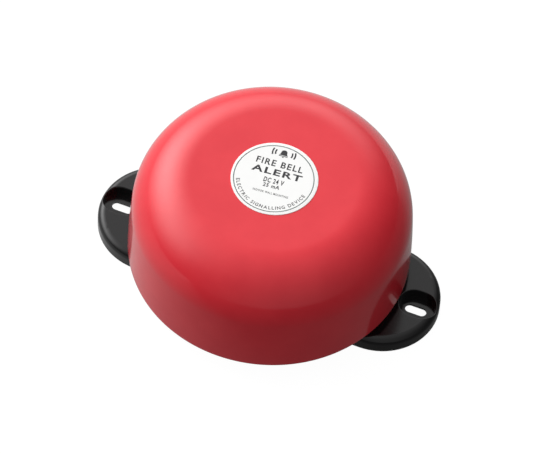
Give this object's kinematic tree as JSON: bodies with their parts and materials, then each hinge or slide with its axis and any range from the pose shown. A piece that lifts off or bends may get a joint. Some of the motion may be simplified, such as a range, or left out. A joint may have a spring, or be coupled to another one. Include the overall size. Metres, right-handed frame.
{
  "type": "fire alarm bell",
  "caption": "Round red domed alarm bell on a black wall base with two slotted ears; a motor inside spins swinging hammers that strike the dome.",
  "frame": {"origin": "centre of the base's back face, the face that lies against the wall", "axes": "+Z along the gong's axis, away from the wall; +X along the line through the two fixing slots; +Y upwards on the wall, as the label reads to within a few degrees"},
  "size_m": [0.191, 0.15, 0.0777],
  "materials": {
    "red_enamel": "glossy baked red enamel on pressed steel",
    "label_print": "white printed foil label",
    "black_moulding": "glossy black moulded plastic",
    "zinc_plate": "bright zinc-plated steel",
    "motor_steel": "drawn nickel-plated steel",
    "motor_cap_plastic": "natural moulded nylon",
    "ferrite": "dark sintered ferrite",
    "sintered_bronze": "oil-filled sintered bronze",
    "core_steel": "stacked steel laminations",
    "winding_copper": "enamelled copper wire",
    "commutator_copper": "bare copper segments",
    "brass_metal": "turned brass",
    "hardened_steel": "ground steel",
    "board_laminate": "green solder mask on glass laminate",
    "nylon": "white moulded nylon",
    "rubber_black": "black moulded rubber",
    "insulation_red": "red wire insulation",
    "insulation_black": "black wire insulation",
    "capacitor_sleeve": "dark blue shrink sleeve",
    "diode_body": "moulded black body with a grey band",
    "resistor_body": "beige lacquer with colour bands",
    "terminal_plastic": "blue moulded terminal body",
    "tinned_copper": "tinned copper strand"
  },
  "bodies": {
    "bell": {"gong": "red_enamel", "gong_label": "label_print", "base": "black_moulding", "gong_screw": "zinc_plate", "gong_washer": "zinc_plate", "gong_pad": "rubber_black", "pillar": "zinc_plate", "pillar_screw": "zinc_plate", "chassis_plate": "zinc_plate", "chassis_screws": "zinc_plate", "motor_bracket": "zinc_plate", "bracket_screws": "zinc_plate", "motor_screws": "zinc_plate", "motor_can": "motor_steel", "motor_end_cap": "motor_cap_plastic", "motor_magnets": "ferrite", "motor_bush_front": "sintered_bronze", "motor_bush_rear": "sintered_bronze", "motor_brushes": "brass_metal", "motor_terminals": "tinned_copper", "circuit_board": "board_laminate", "board_spacers": "nylon", "board_screws": "zinc_plate", "capacitor": "capacitor_sleeve", "diode": "diode_body", "resistor": "resistor_body", "terminal_block": "terminal_plastic", "terminal_clamps": "brass_metal", "terminal_screws": "zinc_plate", "cable_grommet": "rubber_black", "supply_lead_red": "insulation_red", "supply_lead_black": "insulation_black", "supply_lead_tips": "tinned_copper", "motor_lead_red": "insulation_red", "motor_lead_black": "insulation_black"},
    "rotor": {"motor_shaft": "hardened_steel", "motor_armature": "core_steel", "armature_winding": "winding_copper", "commutator": "commutator_copper", "striker_carrier": "zinc_plate", "carrier_set_screw": "hardened_steel", "hammer_pins": "hardened_steel", "pin_clips": "hardened_steel"},
    "hammer_a": {"hammer_arm_a": "zinc_plate", "hammer_head_a": "hardened_steel"},
    "hammer_b": {"hammer_arm_b": "zinc_plate", "hammer_head_b": "hardened_steel"}
  },
  "joints": [
    {"name": "rotor_spin", "type": "hinge", "parent": "bell", "child": "rotor", "pos_m": [0, 0.04, 0.0425], "axis": [0, 0, 1], "continuous": true},
    {"name": "hammer_a_swing", "type": "hinge", "parent": "rotor", "child": "hammer_a", "pos_m": [0.015, 0.04, 0.0457], "axis": [0, 0, 1], "range_deg": [0, 75]},
    {"name": "hammer_b_swing", "type": "hinge", "parent": "rotor", "child": "hammer_b", "pos_m": [-0.015, 0.04, 0.0457], "axis": [0, 0, 1], "range_deg": [0, 75]}
  ]
}
